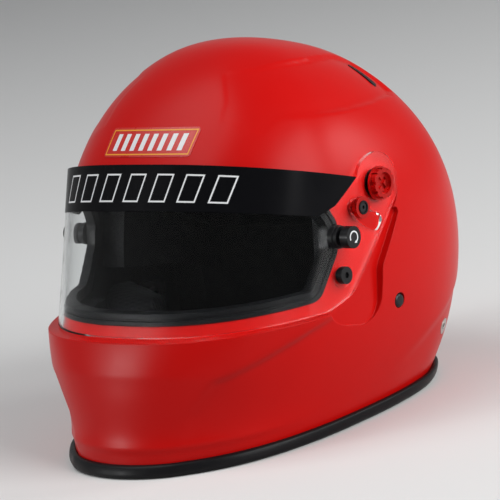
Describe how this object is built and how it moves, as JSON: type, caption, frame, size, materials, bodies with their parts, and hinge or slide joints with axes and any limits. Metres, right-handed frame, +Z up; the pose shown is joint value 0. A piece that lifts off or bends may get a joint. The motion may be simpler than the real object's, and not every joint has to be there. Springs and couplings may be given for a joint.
{
  "type": "auto racing helmet",
  "caption": "Full-face auto racing helmet with a hinged clear shield, shaded upper band, tear-off posts, foam and pad lining, ring-closed chin strap and neck-restraint anchors.",
  "frame": {"origin": "centre of the helmet's bounding box on the surface it stands on, the flat lower rim", "axes": "+X to the wearer's left, -Y to the wearer's face, +Z up"},
  "size_m": [0.269, 0.3318, 0.2701],
  "materials": {
    "shell_red": "satin red paint over composite",
    "foam": "moulded bead foam, black",
    "lining": "fire-resistant knit over foam, black",
    "rubber_black": "satin black rubber",
    "clear_shield": "clear hard-coated polycarbonate",
    "strip_black": "black printed film",
    "decal_dark": "thin printed film",
    "webbing": "woven aramid webbing, black",
    "steel": "satin stainless steel",
    "steel_dark": "black-oxide steel",
    "plastic_black": "satin black moulding",
    "anodised_red": "red anodised",
    "aluminium_plain": "plain machined"
  },
  "bodies": {
    "helmet": {"outer_shell": "shell_red", "impact_liner": "foam", "chin_bar_foam": "foam", "crown_pad": "lining", "neck_roll": "lining", "rim_trim": "rubber_black", "eyeport_gasket": "rubber_black", "forehead_panel": "decal_dark", "long_chin_strap": "webbing", "short_chin_strap": "webbing", "chin_strap_pad": "lining", "left_cheek_pad": "lining", "right_cheek_pad": "lining", "left_pivot_bush": "plastic_black", "right_pivot_bush": "plastic_black", "left_pivot_nut": "steel", "right_pivot_nut": "steel", "left_pivot_screw": "anodised_red", "right_pivot_screw": "anodised_red", "left_guide_post": "anodised_red", "right_guide_post": "anodised_red", "left_guide_ring": "rubber_black", "right_guide_ring": "rubber_black", "left_guide_screw": "steel_dark", "right_guide_screw": "steel_dark", "left_strap_bolt": "steel_dark", "right_strap_bolt": "steel_dark", "left_strap_hanger": "steel", "right_strap_hanger": "steel", "left_strap_nut": "steel", "right_strap_nut": "steel", "left_anchor_insert": "aluminium_plain", "right_anchor_insert": "aluminium_plain", "left_vent_mesh": "plastic_black", "right_vent_mesh": "plastic_black"},
    "visor": {"visor": "clear_shield", "sun_strip": "strip_black", "left_tearoff_saddle": "plastic_black", "right_tearoff_saddle": "plastic_black", "left_tearoff_spindle": "steel", "right_tearoff_spindle": "steel", "left_visor_stud": "plastic_black", "right_visor_stud": "plastic_black", "left_visor_stud_screw": "steel", "right_visor_stud_screw": "steel"},
    "left_tearoff_cam": {"left_tearoff_cam": "plastic_black"},
    "right_tearoff_cam": {"right_tearoff_cam": "plastic_black"},
    "upper_strap_ring": {"upper_strap_ring": "steel"},
    "lower_strap_ring": {"lower_strap_ring": "steel"}
  },
  "joints": [
    {"name": "visor_hinge", "type": "hinge", "parent": "helmet", "child": "visor", "pos_m": [0, 0.0105, 0.16419], "axis": [-1, 0, 0], "range_deg": [0, 46]},
    {"name": "left_tearoff_turn", "type": "hinge", "parent": "visor", "child": "left_tearoff_cam", "pos_m": [0.13445, -0.03694, 0.13791], "axis": [1, 0, 0], "range_deg": [0, 180]},
    {"name": "right_tearoff_turn", "type": "hinge", "parent": "visor", "child": "right_tearoff_cam", "pos_m": [-0.13445, -0.03694, 0.13791], "axis": [-1, 0, 0], "range_deg": [0, 180]},
    {"name": "upper_ring_swing", "type": "hinge", "parent": "helmet", "child": "upper_strap_ring", "pos_m": [-0.066, 0.0114, 0.01095], "axis": [0, -1, 0], "range_deg": [0, 75]},
    {"name": "lower_ring_swing", "type": "hinge", "parent": "helmet", "child": "lower_strap_ring", "pos_m": [-0.066, 0.0114, 0.00805], "axis": [0, -1, 0], "range_deg": [-60, 0]}
  ]
}
